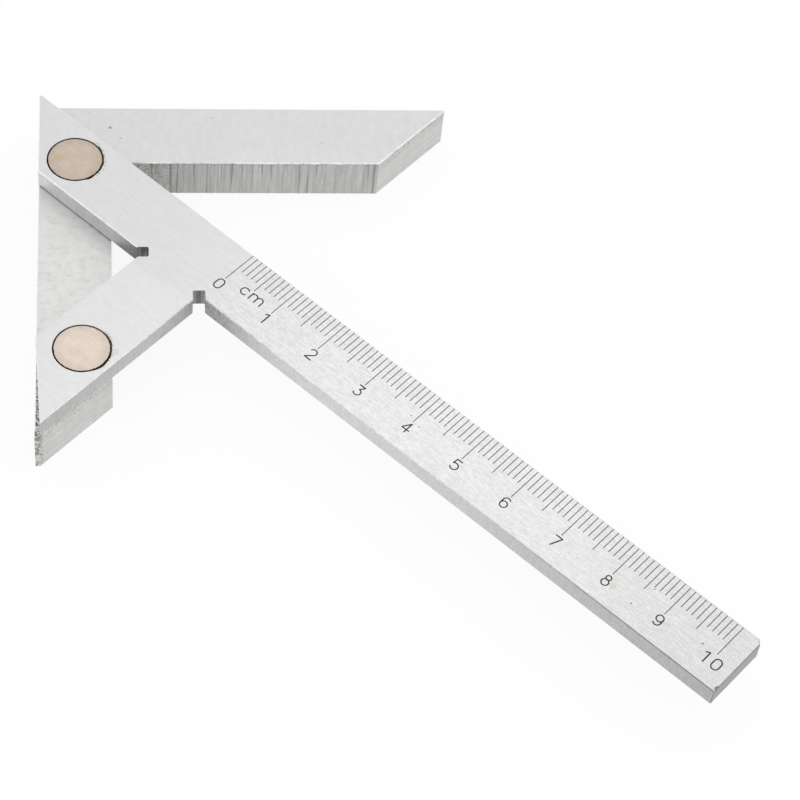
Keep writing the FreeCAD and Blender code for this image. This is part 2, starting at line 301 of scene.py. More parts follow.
# %% [markdown]
# ## Dirt, stains and specks
# Years of oily hands and filings leave brown dirt in every gap, small rust specks and a few yellow
# stains. A speck is noise above a threshold. A stain is a spot at a known place with a wavering
# rim, which is the distance from that place with some noise added. Both return a mask, and the
# finish mixes its own tone in with it.

# %% Specks and spots
# Specks begin where the noise passes an edge: the first for a share of 0, the second for 1.
SPARSE_EDGE, DENSE_EDGE, SPECK_RIM = 0.72, 0.48, 0.07
RIM_WAVE = 0.25
SPOT_CORE, SPOT_END = 0.6, 1.25


def specks(tree, place, size, share, seed=0.0):
    """A mask of specks of about size mm. share is how much of the face they cover, roughly."""
    grains = marks(tree, place, UPRIGHT, (size, size, size), seed=seed, detail=2.0)
    edge = SPARSE_EDGE - (SPARSE_EDGE - DENSE_EDGE) * share ** 0.5
    return spread(tree, grains, edge, edge + SPECK_RIM, 0.0, 1.0)


def distance_from(tree, place, point):
    """Level distance in metres from the upright line through a point."""
    flat = add_node(tree, "VectorMath", {0: place, 1: (1, 1, 0)}, operation="MULTIPLY").outputs[0]
    apart = add_node(tree, "VectorMath", {0: flat, 1: (point.x, point.y, 0)}, operation="DISTANCE")
    return apart.outputs["Value"]


def wavering(tree, place, length, size, seed=0.0):
    """A length with up to a quarter of size mm added or taken, in waves about size mm long."""
    waves = marks(tree, place, UPRIGHT, (size, size, size), seed=seed)
    shift = spread(tree, waves, 0.2, 0.8, -RIM_WAVE * size * MM, RIM_WAVE * size * MM)
    return add_node(tree, "Math", {0: length, 1: shift}, operation="ADD").outputs[0]


def spot(tree, place, point, radius, seed=0.0):
    """A mask that is 1 inside an uneven spot of that radius in mm, with a soft rim."""
    length = wavering(tree, place, distance_from(tree, place, point), radius, seed)
    return spread(tree, length, SPOT_CORE * radius * MM, SPOT_END * radius * MM, 1.0, 0.0)


def zone(tree, place, turn, start, full, axis=0):
    """A mask that grows from 0 to 1 between two places in mm along an axis."""
    where = position(tree, place, turn, axis)
    low, high, first, last = (start, full, 0.0, 1.0) if start < full else (full, start, 1.0, 0.0)
    return spread(tree, where, low * MM, high * MM, first, last)


print("a stain of 1 mm fades out at", SPOT_END, "mm")

# %% [markdown]
# ## Worked steel, one recipe for every face
# Bare steel is a metal, so its colour is what it reflects. The recipe takes the tone of the face,
# one tone or several along it, and multiplies layers of marks into it. The first layer also dents
# the surface, so the marks catch light as well as colour, and the last one varies the roughness.
# A finish with dirt or stains passes a function that paints them over the steel.

# %% Worked steel
NEXT_SEED = 7.3
ROUGHNESS_SPREAD = 0.04


def worked_steel(name, stops, layers, turn=UPRIGHT, tone_turn=None, roughness=0.4, depth=0.004,
                 painted=None, metallic=1.0):
    """A cut steel face, with a grain along turn and tones along tone_turn.

    stops is a list of (mm, hex) and layers a list of (size in mm, share that it lightens and darkens).
    """
    material, tree = new_material(name)
    place = add_node(tree, "TexCoord").outputs["Object"]
    colour = tone_along(tree, place, turn if tone_turn is None else tone_turn, stops)
    noises = []
    for number, (size, strength) in enumerate(layers):
        noises.append(marks(tree, place, turn, size, seed=NEXT_SEED * number))
        colour = multiply(tree, colour, spread(tree, noises[-1], 0.25, 0.75, 1 - strength, 1 + strength))
    if painted:
        colour = painted(tree, place, colour)
    bump = add_node(tree, "Bump", {"Height": noises[0], "Strength": 1.0, "Distance": depth * MM})
    rough = spread(tree, noises[-1], 0.3, 0.7, roughness - ROUGHNESS_SPREAD, roughness + ROUGHNESS_SPREAD)
    steel = add_node(tree, "BsdfPrincipled", {
        "Base Color": colour, "Metallic": metallic, "Roughness": rough, "Normal": bump.outputs[0]})
    add_node(tree, "OutputMaterial", {"Surface": steel.outputs[0]})
    return material


print("seed step from layer to layer:", NEXT_SEED, "roughness varies by:", ROUGHNESS_SPREAD)

# %% [markdown]
# ## The surface-ground plate
# The top of the plate was ground flat on a surface grinder, which leaves short straight marks along
# the rule and an even silvery grey. They are strong on the rule, where the scale was dressed once
# more after engraving, and nearly rubbed away on the wide head. The tone is darker at both ends,
# where the face sees less of the light. Small pits and stains are where they are on the tool.

# %% Surface-ground top
def middle_of(node):
    low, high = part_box(node)
    return (low + high) / 2


RIVET_AXES = [middle_of("upper_rivet"), middle_of("lower_rivet")]
HEAD_RADIUS, RING_GAP = 4.39, 0.26
SEAT_RADIUS = HEAD_RADIUS + RING_GAP
RULE_BEGINS, RULE_FULL = 44, 54
BRACE_BEGINS, BRACE_FULL, BRACE_LIGHTER = 12, 17, 1.05
PIT_TONE, SPILT_TONE = "#9A958E", "#77736C"
# Dirt has spilt this far past a rivet's seat, in mm, and only on the right of the rivet's middle.
SPILT_FROM, SPILT_TO, RIGHT_FROM, RIGHT_FULL = 0.1, 0.65, 2.5, 4.0
# Places in mm along and in from the graduated edge, then a radius, and a stain's own tone.
STAINS = [(130.3, 8.3, 0.6, "#C8B795"), (46.9, 29.4, 0.65, "#C2C4AE")]
PITS = [(90.3, 6.7, 0.16), (146.3, 6.6, 0.2), (134.2, 8.6, 0.18), (135.2, 4.2, 0.16), (88.0, 5.9, 0.15)]
# Each grain of the rule is a mark's size in mm, its strength and a seed.
RULE_GRAINS = [((1.5, 0.22, 0.22), 0.085, 31.0), ((0.4, 0.3, 0.3), 0.075, 47.0)]


def rule_dressing(tree, place, colour):
    """The rule's stronger marks, pits, the brace's lighter tone, dirt by the rivets, and stains."""
    on_rule = zone(tree, place, ALONG, RULE_BEGINS, RULE_FULL)
    for size, strength, seed in RULE_GRAINS:
        grain = marks(tree, place, ALONG, size, seed=seed)
        ground = spread(tree, grain, 0.25, 0.75, 1 - strength, 1 + strength)
        factor = add_node(tree, "Mix", {0: on_rule, 2: 1.0, 3: ground}, data_type="FLOAT").outputs[0]
        colour = multiply(tree, colour, factor)
    for number, (along, across, radius) in enumerate(PITS):
        mask = spot(tree, place, on_plate(along, across), radius, seed=number)
        colour = tint(tree, colour, product(tree, mask, 0.4), PIT_TONE)
    lighter = spread(tree, zone(tree, place, ACROSS, BRACE_BEGINS, BRACE_FULL), 0.0, 1.0, 1.0,
                     BRACE_LIGHTER)
    colour = multiply(tree, colour, lighter)
    for axis in RIVET_AXES:
        beside = distance_from(tree, place, axis)
        past_seat = (SEAT_RADIUS + SPILT_FROM) * MM, (SEAT_RADIUS + SPILT_TO) * MM
        near = spread(tree, beside, *past_seat, 1.0, 0.0)
        right_side = zone(tree, place, UPRIGHT, axis.x / MM + RIGHT_FROM, axis.x / MM + RIGHT_FULL)
        spilt = product(tree, product(tree, near, right_side), specks(tree, place, 0.4, 0.9, seed=5.0))
        colour = tint(tree, colour, product(tree, spilt, 0.7), SPILT_TONE)
    for number, (along, across, radius, tone) in enumerate(STAINS):
        stain = spot(tree, place, on_plate(along, across), radius, seed=3.0 + number)
        colour = tint(tree, colour, product(tree, stain, 0.35), tone)
    return colour


surface_ground = worked_steel(
    "surface_ground_steel",
    [(0, "#D6D6D6"), (35, "#D6D7D6"), (47, "#DADADA"), (60, "#DEDEDE"), (85, "#E2E2E2"),
     (120, "#DFDFDF"), (138, "#D8D8D8"), (153, "#D5D5D5")],
    [((2.6, 0.28, 0.28), 0.030), ((1.1, 1.0, 1.1), 0.018), ((7, 5, 5), 0.012)],
    turn=ALONG, roughness=0.42, painted=rule_dressing)
print(surface_ground.name, "nodes:", len(surface_ground.node_tree.nodes))

# %% [markdown]
# ## Milled sides, sawn slots and dirty gaps
# The sides of the plate were milled and left, so they are duller than the top and show fine upright
# chatter. Their tones along the rule are painted reflection and shade, because each part of it faces
# another part of the room: light at its start, dark next to the relief slots, darker at the far end.
# The relief slots were sawn: they are dark and ribbed. Dirt sits in the gaps round the rivets and
# along the rims of the slots, and the plate's lower edges over the stock are painted dark grey as
# painted shade in the joint. The broken edges carry a painted highlight, near white along most of
# the rule and darker towards the far end.

# %% Sides, slots, gaps and edges
# Each worn stretch fades in along the rule from start to full, ends at past, and has a share and a seed.
WORN_STRETCHES = [(62, 50, 41, 0.75, 5.0), (28, 36, 42, 0.8, 9.0)]
SIDE_SPECK_TONE = "#7C7C7A"
SIDE_FADE = (20, 16)


def side_wear(tree, place, colour):
    """Dark specks, thick next to the two relief slots and a few further on."""
    for start, full, past, share, seed in WORN_STRETCHES:
        beside = product(tree, zone(tree, place, ALONG, start, full), zone(tree, place, ACROSS, *SIDE_FADE))
        beside = product(tree, beside, zone(tree, place, ALONG, past, 0.8 * past + 0.2 * full))
        mask = product(tree, specks(tree, place, 0.45, share, seed), beside)
        colour = tint(tree, colour, product(tree, mask, 0.55), SIDE_SPECK_TONE)
    few = specks(tree, place, 0.4, 0.02, 15.0)
    return tint(tree, colour, product(tree, few, 0.5), SIDE_SPECK_TONE)


# The tones along the rule are painted reflection and shade: light at its start, dark next to the relief
# slots, darker towards the far end.
milled_side = worked_steel(
    "milled_plate_side",
    [(10, "#EAEBEA"), (16, "#D4D5D4"), (29, "#DBDCDB"), (36, "#A4A5A3"), (50, "#A4A5A4"), (60, "#D6D6D5"),
     (75, "#DFDFDF"), (95, "#DADADA"), (115, "#CECECE"), (130, "#C9C9C9"), (152, "#BABAB9")],
    [((0.4, 0.4, 5), 0.07), ((0.5, 0.5, 0.5), 0.06), ((3, 3, 9), 0.04)],
    turn=ALONG, roughness=0.5, painted=side_wear)
# The brace side's tones are painted shade, darkest where it meets the rule by the relief slot.
milled_brace_side = worked_steel(
    "milled_brace_side",
    [(12, "#9D9E9C"), (16, "#B9BAB8"), (22, "#CDCECC"), (30, "#CBCCCA"), (47, "#C3C4C2")],
    [((0.4, 0.4, 5), 0.08), ((0.5, 0.5, 0.5), 0.07), ((3, 3, 9), 0.04)],
    turn=ACROSS, roughness=0.5)
milled_end = worked_steel(
    "milled_rule_end",
    [(0, "#AEB0B0"), (12, "#ABADAD")],
    [((0.4, 0.4, 5), 0.05), ((0.6, 0.6, 0.6), 0.04)],
    turn=ACROSS, roughness=0.5)
ground_scribing_edge = worked_steel(
    "ground_scribing_edge",
    [(0, "#CACACA"), (60, "#D2D2D2"), (152, "#C8C8C8")],
    [((3, 0.3, 0.3), 0.06), ((0.5, 0.4, 0.4), 0.04)],
    turn=ALONG, roughness=0.42)
sawn_slot = worked_steel(
    "sawn_relief_slot",
    [(0, "#969694"), (150, "#969694")],
    [((0.3, 0.3, 5), 0.45), ((0.3, 0.3, 0.3), 0.35)],
    turn=UPRIGHT, roughness=0.6, depth=0.02)
old_dirt = worked_steel(
    "old_dirt_in_gap",
    [(0, "#6C6359"), (150, "#6C6359")],
    [((2.5, 2.5, 2.5), 0.8), ((0.4, 0.4, 0.4), 0.3)],
    turn=UPRIGHT, roughness=0.8, metallic=0.0)
# The plate's lower chamfers over the stock are painted dark grey, a painted shade in the joint.
crevice = worked_steel(
    "painted_shade_lower_edge",
    [(0, "#7D7C79"), (150, "#7D7C79")],
    [((0.8, 0.8, 0.8), 0.7), ((0.3, 0.3, 0.3), 0.4)],
    turn=UPRIGHT, roughness=0.7)
# The edges' colour is a painted highlight, near white along most of the rule and darker towards the far end.
painted_edge_highlight = worked_steel(
    "painted_edge_highlight",
    [(0, "#FAFAFA"), (95, "#F0F0F0"), (122, "#A6A6A4"), (152, "#8E8E8C")],
    [((1.2, 1.2, 1.2), 0.14), ((0.4, 0.4, 0.4), 0.12)],
    turn=ALONG, roughness=0.32)
dented_steel = worked_steel(
    "dented_steel",
    [(0, "#9E9B97"), (150, "#9E9B97")],
    [((0.3, 0.3, 0.3), 0.3)],
    roughness=0.6)
print("finishes so far:", len(bpy.data.materials))

# %% [markdown]
# ## The stock's faces
# The stock was cut from flat bar. Its top was ground too, but crosswise, and it has turned a little
# dull where the plate doesn't rub it. Its two outer faces were ground lengthwise. The inner faces,
# which hold the work, were shaped: a single-point tool ran up and down them, and left upright ribs
# with dark scale between them. The slanting ends were sawn and only wiped with a file, so their
# streaks run level.

# %% Stock finishes
# Each scuff is its place in mm, its radius, and how strongly it shows.
SCUFFS = [(11.7, -4.4, 0.28, 0.8), (13.5, -6.7, 0.25, 0.3), (28.8, -2.1, 0.25, 0.25), (47.0, -7.5, 0.25, 0.3)]
# Each fade is where a zone starts and where it is full, in mm along x, y or z.
DOWN_LEG_FADE, CORNER_FADES = (-18, -26), ((27, 14), (-26, -14))
APEX_FADES, RIM_FADES = ((18, 8), (-10, -6)), ((1.1, 0.7), (-44, -56))
INNER_RIM, END_RIM, TIP_FADE = (6.6, 7.8), (5.2, 7.8), (1.6, 0.7)
# The last tone on this line darkens the strip beside the brace's point as painted shade of the joint.
SMUDGE_TONE, SCUFF_TONE, SCRAPE_TONE, STOCK_RIM_TONE = "#C3C4C1", "#8C8C88", "#A8A8A4", "#74736F"
# The first tone on this line is the painted shade by the inner corner.
CORNER_SHADE_TONE, RIM_SPECK_TONE, END_SPECK_TONE, TIP_TONE = "#6B6B68", "#7A7A77", "#8D8D89", "#6E6D69"


def patch(tree, place, fade_x, fade_y):
    """A mask that is 1 only where a zone along x and a zone along y meet."""
    return product(tree, zone(tree, place, UPRIGHT, *fade_x), zone(tree, place, UPRIGHT, *fade_y, axis=1))


def stock_top_wear_and_shade(tree, place, colour):
    """Smudges, slanting scratches, scuffs, and a dark speckled strip beside the brace's point, painted shade
    of the joint.
    """
    scratches = marks(tree, place, ALONG, (0.35, 7, 1), seed=12.0)
    colour = multiply(tree, colour, spread(tree, scratches, 0.58, 0.78, 1.0, 0.93))
    down_leg = zone(tree, place, UPRIGHT, *DOWN_LEG_FADE, axis=1)
    smudge = spread(tree, marks(tree, place, UPRIGHT, (1.6, 1.1, 1), seed=21.0), 0.45, 0.75, 0.0, 0.5)
    colour = tint(tree, colour, product(tree, smudge, down_leg), SMUDGE_TONE)
    for across, up, radius, share in SCUFFS:
        mask = spot(tree, place, Vector((across, up, 0)) * MM, radius, seed=across)
        colour = tint(tree, colour, product(tree, mask, share), SCUFF_TONE)
    by_apex = patch(tree, place, *APEX_FADES)
    scrape = spread(tree, marks(tree, place, ALONG, (3.0, 0.3, 1), seed=33.0), 0.58, 0.72, 0.0, 0.5)
    colour = tint(tree, colour, product(tree, scrape, by_apex), SCRAPE_TONE)
    # The strip beside the brace's point is rough steel darkened with painted shade of the joint.
    rim = patch(tree, place, *RIM_FADES)
    rim = product(tree, rim, specks(tree, place, 0.5, 0.9, 2.0))
    return tint(tree, colour, rim, STOCK_RIM_TONE)


def inner_face_wear_and_shade(tree, place, colour):
    """Deep dark ribs here and there, painted shade near the inner corner, specks under the top edge."""
    ribs = marks(tree, place, UPRIGHT, (0.5, 0.5, 22), seed=40.0, detail=1.0)
    colour = multiply(tree, colour, spread(tree, ribs, 0.56, 0.70, 1.0, 0.62))
    # The dense dark specks by the inner corner are painted shade with a ragged edge.
    corner = patch(tree, place, *CORNER_FADES)
    corner = product(tree, corner, specks(tree, place, 0.7, 0.95, 6.0))
    colour = tint(tree, colour, product(tree, corner, 0.55), CORNER_SHADE_TONE)
    upper = product(tree, zone(tree, place, UPRIGHT, *INNER_RIM, axis=2), specks(tree, place, 0.4, 0.6, 8.0))
    return tint(tree, colour, product(tree, upper, 0.5), RIM_SPECK_TONE)


def sawn_end_wear(tree, place, colour):
    """Light streaks where the file touched, and dark specks near the joint and on the blunt tip."""
    streaks = marks(tree, place, ACROSS, (7, 0.6, 0.35), seed=17.0)
    colour = multiply(tree, colour, spread(tree, streaks, 0.5, 0.75, 1.0, 1.14))
    upper = product(tree, zone(tree, place, UPRIGHT, *END_RIM, axis=2), specks(tree, place, 0.4, 0.7, 8.0))
    colour = tint(tree, colour, product(tree, upper, 0.5), END_SPECK_TONE)
    tip = product(tree, zone(tree, place, UPRIGHT, *TIP_FADE), specks(tree, place, 0.6, 1.0, 4.0))
    return tint(tree, colour, product(tree, tip, 0.7), TIP_TONE)


ground_outside = worked_steel(
    "ground_outer_face",
    [(-70, "#CDCDCC"), (70, "#CDCDCC")],
    [((4, 4, 0.35), 0.05), ((1.2, 1.2, 1.2), 0.03)],
    roughness=0.45)
ground_stock = worked_steel(
    "ground_stock_top",
    [(-70, "#E0E0DF"), (-16, "#DEDEDD"), (-12, "#D6D7D6"), (0, "#D6D7D6")],
    [((1.0, 3.0, 1.0), 0.020), ((1.4, 1.4, 1.4), 0.022), ((8, 8, 8), 0.012)],
    tone_turn=DOWN_LEG, roughness=0.5, painted=stock_top_wear_and_shade)
# The tones along x are painted shade, darkest at the inner corner.
shaped_inner = worked_steel(
    "shaped_inner_face",
    [(12, "#A5A6A3"), (26, "#B6B7B4"), (36, "#C2C3C0"), (60, "#C0C1BF")],
    [((0.5, 0.5, 14), 0.13), ((0.3, 0.3, 4), 0.08), ((0.5, 0.5, 0.5), 0.06)],
    roughness=0.5, depth=0.008, painted=inner_face_wear_and_shade)
sawn_end = worked_steel(
    "sawn_leg_end",
    [(-80, "#D4D4D2"), (80, "#D4D4D2")],
    [((6, 0.6, 0.4), 0.06), ((0.9, 0.9, 0.9), 0.06)],
    turn=ACROSS, roughness=0.5, depth=0.006, painted=sawn_end_wear)
print("finishes so far:", len(bpy.data.materials))

# %% [markdown]
# ## Copies that can be worked on
# The designed plate and stock arrive as loose triangles that mustn't be changed. A copy is merged
# into one skin, and its flat triangles are dissolved into whole faces, so that edges can be
# found, rounded and roughened as on the real thing.

# %% Editable copies
TINY = 0.001 * MM
# A face is flat where its normal is nearly upright, and slanting where its normal leans at all.
FLAT, SLANTING = 0.95, 0.3
SAME_PLANE = radians(0.2)
EDGE_BREAK = 0.12


def editable_copy(node):
    """A bmesh of the node with its doubles merged and its flat faces whole."""
    bm = bmesh.new()
    bm.from_mesh(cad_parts[node].data)
    bmesh.ops.remove_doubles(bm, verts=bm.verts, dist=TINY)
    bmesh.ops.dissolve_limit(bm, angle_limit=SAME_PLANE, verts=bm.verts, edges=bm.edges)
    print(node, "copy:", len(bm.verts), "vertices,", len(bm.faces), "faces")
    return bm


def along_across(point):
    """A point's millimetres along the graduated edge and in from it."""
    return point.dot(ALONG_RULE) / MM, point.dot(ACROSS_RULE) / MM


def from_rivet(point):
    """Millimetres from the nearest rivet's axis."""
    return min((point.xy - axis.xy).length for axis in RIVET_AXES) / MM


def piece_from(bm, name, materials, node):
    """Makes the bmesh an object on the root body that stands for a CAD node, and hides the node."""
    mesh = bpy.data.meshes.new(name)
    bm.to_mesh(mesh)
    bm.free()
    for material in materials:
        mesh.materials.append(material)
    piece = bpy.data.objects.new(name, mesh)
    bpy.context.scene.collection.objects.link(piece)
    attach(piece, "root")
    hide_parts(node)
    return piece


# %% [markdown]
# ## Edges and walls as a hand leaves them
# A drawn edge is perfectly straight, and a real one isn't: the file takes a little more here and
# there, and a milled or shaped wall has upright ribs. A displacement texture would need a very dense
# mesh. Here each wall is cut into upright strips together with the narrow chamfers above and below
# it, and every strip is moved into the metal, so the tool never grows: by up to a few hundredths of
# a millimetre on most walls, and by up to two tenths in the sawn slots. The marks are drawn deeper
# than real, because real ones wouldn't show.

# %% Level edges and lower chamfers
def is_level(edge):
    """Whether both ends of an edge are at one height."""
    return abs(edge.verts[0].co.z - edge.verts[1].co.z) < TINY


def break_lower_edges(bm, height, width):
    """A chamfer of width mm on the outline's edges at a height, but not on the rivets' seats."""
    outline = [edge for edge in bm.edges
               if all(abs(vert.co.z - height) < TINY for vert in edge.verts)
               and from_rivet((edge.verts[0].co + edge.verts[1].co) / 2) > SEAT_RADIUS + 0.5
               and any(abs(face.normal.z) < SLANTING for face in edge.link_faces)]
    made = bmesh.ops.bevel(bm, geom=outline, offset=width * MM, offset_type="OFFSET", affect="EDGES",
                           segments=1, profile=0.5, material=-1)
    return len(made["faces"])


print("rivet axes, mm along and across:", [tuple(round(n, 2) for n in along_across(a)) for a in RIVET_AXES])

# %% Strips and unevenness
# Waves are counted for each millimetre, and a strip's depth is part slow wave and part quick wave.
SLOW_WAVES, QUICK_WAVES, FOOT_WAVES = 1.7, 3.1, 1.3
SLOW_SHARE, QUICK_SHARE = 0.4, 0.6
BY_SEAT, CLOSE = SEAT_RADIUS + 0.2, 0.01
SCALE_EDGE_WITHIN, FOOT_SHIFT = 0.5, Vector((5, 0, 0))


def soft_wave(point):
    """A smooth wave through space that is mostly between 0 and 1."""
    return 0.5 + 0.5 * noise.noise(point)


def stack_of_edges(wall):
    """The level edges of a wall and of the chamfers above and below it."""
    stack = {edge for edge in wall.edges if is_level(edge)}
    for edge in list(stack):
        for face in edge.link_faces:
            if SLANTING < abs(face.normal.z) < FLAT and len(face.edges) == 4:
                stack.update(other for other in face.edges if is_level(other))
    return list(stack)


def rib_walls(bm, ribs_of, shortest=0.5):
    """Cuts every plain wall into strips and moves them in. ribs_of(wall) gives width and depth in mm."""
    walls = [face for face in bm.faces if abs(face.normal.z) < SLANTING and len(face.edges) == 4
             and from_rivet(face.calc_center_median()) > BY_SEAT]
    ribbed = 0
    for wall in walls:
        stack = stack_of_edges(wall)
        length = max(edge.calc_length() for edge in stack) / MM if stack else 0
        if len(stack) < 2 or length < shortest:
            continue
        inwards, (pitch, rib) = -wall.normal, ribs_of(wall)
        cuts = max(1, int(length / pitch) - 1)
        made = bmesh.ops.subdivide_edges(bm, edges=stack, cuts=cuts, use_grid_fill=True)
        for vert in {item for item in made["geom_inner"] if isinstance(item, bmesh.types.BMVert)}:
            key = Vector((vert.co.x, vert.co.y, 0)) / MM
            depth = soft_wave(key * SLOW_WAVES)
            ragged = soft_wave(key * QUICK_WAVES + Vector((0, 0, vert.co.z / MM)))
            vert.co += inwards * rib * MM * (SLOW_SHARE * depth + QUICK_SHARE * ragged)
            ribbed += 1
    print("strips cut on", len(walls), "walls,", ribbed, "points moved")


def lower_chamfer_foot(bm, top, drop):
    """Lets the foot of the upper chamfer waver down by up to drop mm."""
    for vert in bm.verts:
        below = (top - vert.co.z) / MM
        if EDGE_BREAK - CLOSE < below < EDGE_BREAK + CLOSE and from_rivet(vert.co) > BY_SEAT:
            if along_across(vert.co)[1] > SCALE_EDGE_WITHIN or top < PLATE_TOP:
                vert.co.z -= drop * MM * soft_wave(vert.co / MM * FOOT_WAVES + FOOT_SHIFT)


print("slow and quick waves for each mm:", SLOW_WAVES, QUICK_WAVES)

# %% [markdown]
# ## Chips and pits
# A few knocks took small bites out of the plate's edge, and one took a chip out of its far end.
# They could be sculpted, but a boolean cut with a small ball is exact and leaves a clean skin. All
# the balls are joined into one cutter, and its faces carry the finish that the cut should have.

# %% Bites
def bite(piece, bites, finish):
    """Cuts flattened balls out of a piece. bites is a list of (point, radii along, across, up in mm)."""
    cutter = bmesh.new()
    for point, radii in bites:
        size = Matrix.Diagonal((*(radius * MM for radius in radii), 1))
        place = Matrix.Translation(point) @ Matrix.Rotation(-RULE_TURN, 4, "Z") @ size
        bmesh.ops.create_icosphere(cutter, subdivisions=2, radius=1.0, matrix=place)
    for face in cutter.faces:
        face.material_index = finish
    mesh = bpy.data.meshes.new("bite_cutter")
    cutter.to_mesh(mesh)
    cutter.free()
    tool = bpy.data.objects.new("bite_cutter", mesh)
    bpy.context.scene.collection.objects.link(tool)
    cut = piece.modifiers.new("bites", "BOOLEAN")
    cut.operation, cut.solver, cut.object = "DIFFERENCE", "EXACT", tool
    bpy.context.view_layer.update()
    bitten = bpy.data.meshes.new_from_object(piece.evaluated_get(bpy.context.evaluated_depsgraph_get()))
    piece.modifiers.clear()
    before, piece.data = piece.data, bitten
    bitten.name = piece.name
    bpy.data.meshes.remove(before)
    bpy.data.objects.remove(tool)
    bpy.data.meshes.remove(mesh)
    print(piece.name, "bites:", len(bites), "faces now:", len(piece.data.polygons))


# %% [markdown]
# ## The plate
# Rule and brace are one plate, and its walls show two tools: the mill left shallow ribs, and the saw
# left deep ones in the relief slots. The mouths of the rivets' seats are ragged, and more so on one
# side. All of that could be sculpted, but moving the points of the copy keeps it exact.

# %% Plate: edges and walls
RULE_WIDTH, RULE_END = 12.0, 152.6
# The corners between rule and brace that the slots relieve, in mm along and in.
SLOTS_AT = [(35.92, RULE_WIDTH), (48.37, RULE_WIDTH)]
SLOT_REACH_ALONG, SLOT_REACH_ACROSS = 1.6, 1.45
LOWER_BREAK = 0.18
MILLED_RIBS, SAWN_RIBS = (0.6, 0.028), (0.32, 0.22)
PLATE_FOOT_DROP = 0.26
MOUTH_WORN, MOUTH_SOUND, MOUTH_WAVES, MOUTH_LEVEL = 0.26, 0.03, 1.9, 0.4
WORN_FROM_X, WORN_TO_Y = 0.4, 0.6


def by_a_slot(along, across):
    """Whether a place on the plate is within reach of a relief slot's corner."""
    return any(abs(along - a) < SLOT_REACH_ALONG and abs(across - b) < SLOT_REACH_ACROSS for a, b in SLOTS_AT)


def plate_ribs(wall):
    """The ribs of a wall of the plate: the short walls of the relief slots were sawn."""
    return SAWN_RIBS if by_a_slot(*along_across(wall.calc_center_median())) else MILLED_RIBS


bm = editable_copy("blade")
break_lower_edges(bm, STOCK_TOP, LOWER_BREAK)
rib_walls(bm, plate_ribs)
lower_chamfer_foot(bm, PLATE_TOP, PLATE_FOOT_DROP)
for vert in bm.verts:
    if abs(from_rivet(vert.co) - SEAT_RADIUS) < CLOSE and vert.co.z > PLATE_TOP - TINY:
        axis = min(RIVET_AXES, key=lambda a: (vert.co.xy - a.xy).length)
        outwards = Vector((*(vert.co.xy - axis.xy).normalized(), 0))
        worn = MOUTH_WORN if outwards.x > WORN_FROM_X and outwards.y < WORN_TO_Y else MOUTH_SOUND
        vert.co += outwards * worn * MM * max(0.0, MOUTH_LEVEL + noise.noise(vert.co / MM * MOUTH_WAVES))
bm.normal_update()
print("plate walls worn, faces:", len(bm.faces))

# %% [markdown]
# ## A finish for each face of the plate
# Each face gets the finish of how it was cut, and its direction and place tell which: flat faces were
# ground, slanting ones are edges, and the short walls of the relief slots were sawn. Painting faces
# by hand would work too, but a rule keeps working when the plate is cut again.

# %% Plate: finishes
GROUND, SIDE, BRACE_SIDE, RULE_END_FACE, EDGE, SAWN, DIRT, CREVICE, DENT, SCRIBING = range(10)
LEG_WIDTH = 12
SLOT_WALL_INSET = 0.08
BRACE_SIDE_ENDS = 49.3
SCRIBING_WITHIN, CORNER_WITHIN = 0.5, 0.3
CROSSWISE, ENDWISE = 0.3, 0.9


def over_stock(point):
    """Whether a point of the plate lies over one of the stock's legs."""
    return point.x < LEG_WIDTH * MM or point.y > -LEG_WIDTH * MM


def plate_finish(face):
    """Which of the plate's finishes a face has."""
    centre = face.calc_center_median()
    along, across = along_across(centre)
    slope = abs(face.normal.z)
    if from_rivet(centre) < SEAT_RADIUS + 0.1 and slope < FLAT:
        return DIRT
    if slope > FLAT:
        return GROUND
    # Lower chamfers over the stock take the dark grey painted shade of the joint.
    if slope > SLANTING and centre.z < STOCK_TOP + 2 * LOWER_BREAK * MM:
        return CREVICE if over_stock(centre) else SIDE
    off_walls = min(abs(across - RULE_WIDTH), *(abs(along - a) for a, _ in SLOTS_AT)) > SLOT_WALL_INSET
    in_slot = by_a_slot(along, across) and along < BRACE_SIDE_ENDS and off_walls
    if slope > SLANTING:
        return DIRT if in_slot else EDGE
    if in_slot:
        return SAWN
    if across < SCRIBING_WITHIN:
        return SCRIBING
    if along > RULE_END - CORNER_WITHIN and CROSSWISE < abs(face.normal.dot(ALONG_RULE)) < ENDWISE:
        return DENT
    if abs(face.normal.dot(ALONG_RULE)) > ENDWISE:
        return RULE_END_FACE if along > RULE_END - 1 else BRACE_SIDE
    return SIDE


for face in bm.faces:
    face.material_index = plate_finish(face)
plate = piece_from(
    bm, "ground_plate",
    [surface_ground, milled_side, milled_brace_side, milled_end, painted_edge_highlight, sawn_slot, old_dirt, crevice,
     dented_steel, ground_scribing_edge],
    "blade")
print("plate finishes:", len(plate.data.materials))

# %% [markdown]
# ## Knocks on the plate
# The nicks lie along the rule's plain edge, where it is knocked most. The pits are shallow, so each
# ball's middle lies a little above the face, and one larger ball takes the chip out of the far end.

# %% Plate: nicks, pits and a chip
# Each nick is its place in mm along the rule's plain edge, and half its length.
NICKS = [(73.3, 0.25), (86.5, 0.3), (88.7, 0.22), (90.8, 0.3), (98.4, 0.25), (126.0, 0.3), (139.2, 0.18),
         (143.8, 0.2)]
ABOVE_TOP = PLATE_TOP + 0.04 * MM
bites = [(on_plate(along, RULE_WIDTH + 0.05), (size, 0.16, 0.2)) for along, size in NICKS]
bites += [(on_plate(along, across, ABOVE_TOP), (size, 0.6 * size, 0.12)) for along, across, size in PITS]
bites.append((on_plate(RULE_END, 11.2), (0.42, 0.5, 0.4)))
bite(plate, bites, DENT)

# %% [markdown]
# ## The stock
# The stock is worn in the same way, with deeper ribs on the faces that were shaped.

